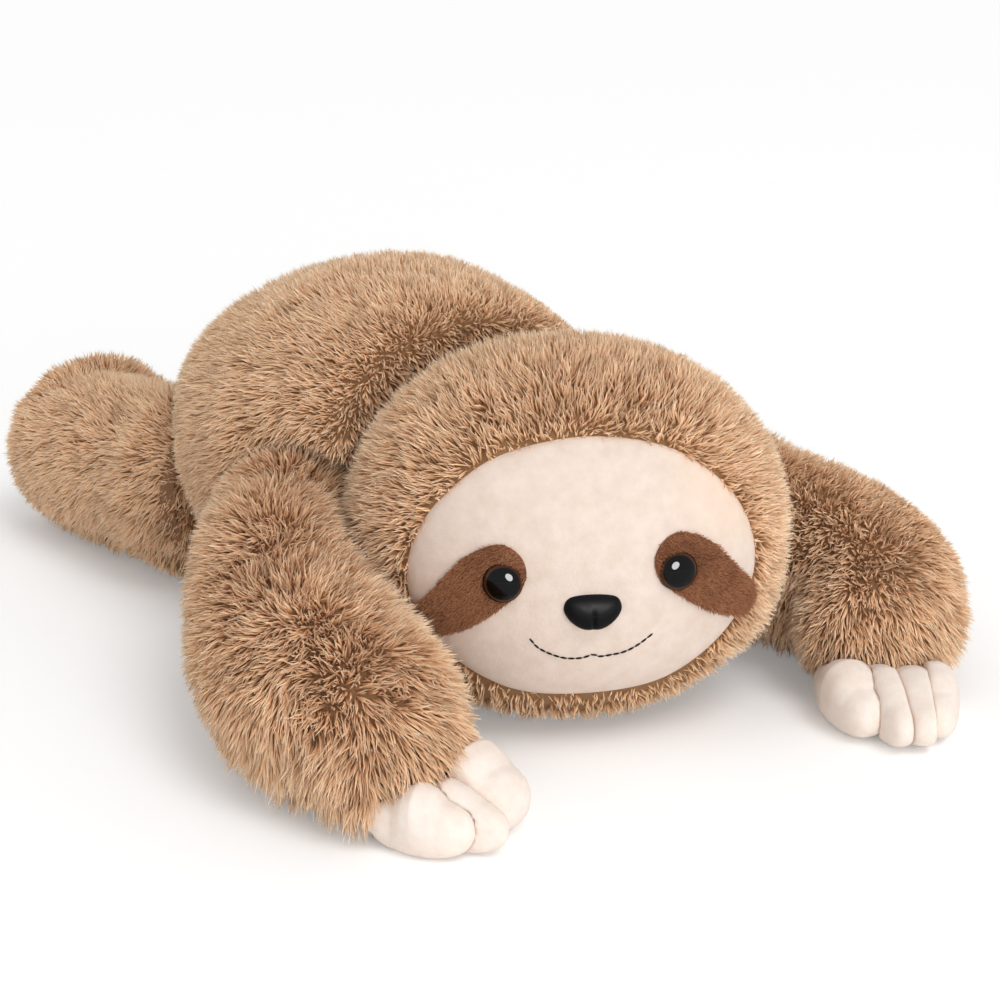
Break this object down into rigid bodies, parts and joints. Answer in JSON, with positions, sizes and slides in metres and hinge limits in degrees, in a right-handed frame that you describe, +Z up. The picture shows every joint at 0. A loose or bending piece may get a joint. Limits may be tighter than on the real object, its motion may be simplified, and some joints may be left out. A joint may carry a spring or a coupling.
{
  "type": "plush sloth",
  "caption": "Plush sloth lying on its belly: furry stuffed body, head, arms and legs, velour face, glossy safety eyes and nose, padded claws, sewn joints.",
  "frame": {"origin": "on the flat of the belly, under the middle of the torso", "axes": "+Y towards the feet along the body, -Y towards the face, +X to the sloth's left, +Z up"},
  "size_m": [0.3486, 0.4905, 0.1644],
  "materials": {
    "fur": "long-pile plush fur, warm brown with lighter tips",
    "stuffing": "loose white fibre stuffing",
    "face_velour": "short-pile cream velour",
    "patch_velour": "short-pile brown velour",
    "claw_velour": "short-pile pale velour",
    "seam": "sewn seam cloth",
    "thread": "near-black embroidery thread",
    "eye_gloss": "polished near-black dome",
    "nose_satin": "satin near-black",
    "washer": "plain moulded white"
  },
  "bodies": {
    "torso": {"torso_skin": "fur", "torso_stuffing": "stuffing"},
    "neck_band": {"neck_seam": "seam"},
    "head": {"head_skin": "fur", "head_stuffing": "stuffing", "face_panel": "face_velour", "eye_patch_left": "patch_velour", "eye_left": "eye_gloss", "eye_washer_left": "washer", "eye_patch_right": "patch_velour", "eye_right": "eye_gloss", "eye_washer_right": "washer", "nose": "nose_satin", "nose_washer": "washer", "mouth_stitching": "thread"},
    "shoulder_band_left": {"shoulder_seam_left": "seam"},
    "arm_left": {"arm_skin_left": "fur", "arm_stuffing_left": "stuffing"},
    "claws_left": {"claw_left_1": "claw_velour", "claw_left_2": "claw_velour", "claw_left_3": "claw_velour", "claw_left_4": "claw_velour"},
    "hip_band_left": {"hip_seam_left": "seam"},
    "leg_left": {"leg_skin_left": "fur", "leg_stuffing_left": "stuffing", "foot_skin_left": "fur", "foot_stuffing_left": "stuffing"},
    "shoulder_band_right": {"shoulder_seam_right": "seam"},
    "arm_right": {"arm_skin_right": "fur", "arm_stuffing_right": "stuffing"},
    "claws_right": {"claw_right_1": "claw_velour", "claw_right_2": "claw_velour", "claw_right_3": "claw_velour", "claw_right_4": "claw_velour"},
    "hip_band_right": {"hip_seam_right": "seam"},
    "leg_right": {"leg_skin_right": "fur", "leg_stuffing_right": "stuffing", "foot_skin_right": "fur", "foot_stuffing_right": "stuffing"}
  },
  "joints": [
    {"name": "neck_twist", "type": "hinge", "parent": "torso", "child": "neck_band", "pos_m": [0, -0.092, 0.08], "axis": [0, 1, 0], "range_deg": [-8, 8]},
    {"name": "neck_nod", "type": "hinge", "parent": "neck_band", "child": "head", "pos_m": [0, -0.092, 0.08], "axis": [-1, 0, 0], "range_deg": [0, 18]},
    {"name": "shoulder_sweep_left", "type": "hinge", "parent": "torso", "child": "shoulder_band_left", "pos_m": [0.076, -0.06, 0.062], "axis": [0, 0, 1], "range_deg": [0, 30]},
    {"name": "shoulder_raise_left", "type": "hinge", "parent": "shoulder_band_left", "child": "arm_left", "pos_m": [0.076, -0.06, 0.062], "axis": [-1, 0, 0], "range_deg": [-10, 25]},
    {"name": "claw_flex_left", "type": "hinge", "parent": "arm_left", "child": "claws_left", "pos_m": [0.121, -0.212, 0.0305], "axis": [-0.891, 0.454, 0], "range_deg": [-15, 20]},
    {"name": "hip_spread_left", "type": "hinge", "parent": "torso", "child": "hip_band_left", "pos_m": [0.055, 0.075, 0.047], "axis": [0, 0, -1], "range_deg": [0, 25]},
    {"name": "hip_raise_left", "type": "hinge", "parent": "hip_band_left", "child": "leg_left", "pos_m": [0.055, 0.075, 0.047], "axis": [1, 0, 0], "range_deg": [-10, 20]},
    {"name": "shoulder_sweep_right", "type": "hinge", "parent": "torso", "child": "shoulder_band_right", "pos_m": [-0.076, -0.06, 0.062], "axis": [0, 0, -1], "range_deg": [0, 30]},
    {"name": "shoulder_raise_right", "type": "hinge", "parent": "shoulder_band_right", "child": "arm_right", "pos_m": [-0.076, -0.06, 0.062], "axis": [-1, 0, 0], "range_deg": [-10, 25]},
    {"name": "claw_flex_right", "type": "hinge", "parent": "arm_right", "child": "claws_right", "pos_m": [-0.121, -0.212, 0.0305], "axis": [-0.891, -0.454, 0], "range_deg": [-15, 20]},
    {"name": "hip_spread_right", "type": "hinge", "parent": "torso", "child": "hip_band_right", "pos_m": [-0.055, 0.075, 0.047], "axis": [0, 0, 1], "range_deg": [0, 25]},
    {"name": "hip_raise_right", "type": "hinge", "parent": "hip_band_right", "child": "leg_right", "pos_m": [-0.055, 0.075, 0.047], "axis": [1, 0, 0], "range_deg": [-10, 20]}
  ]
}
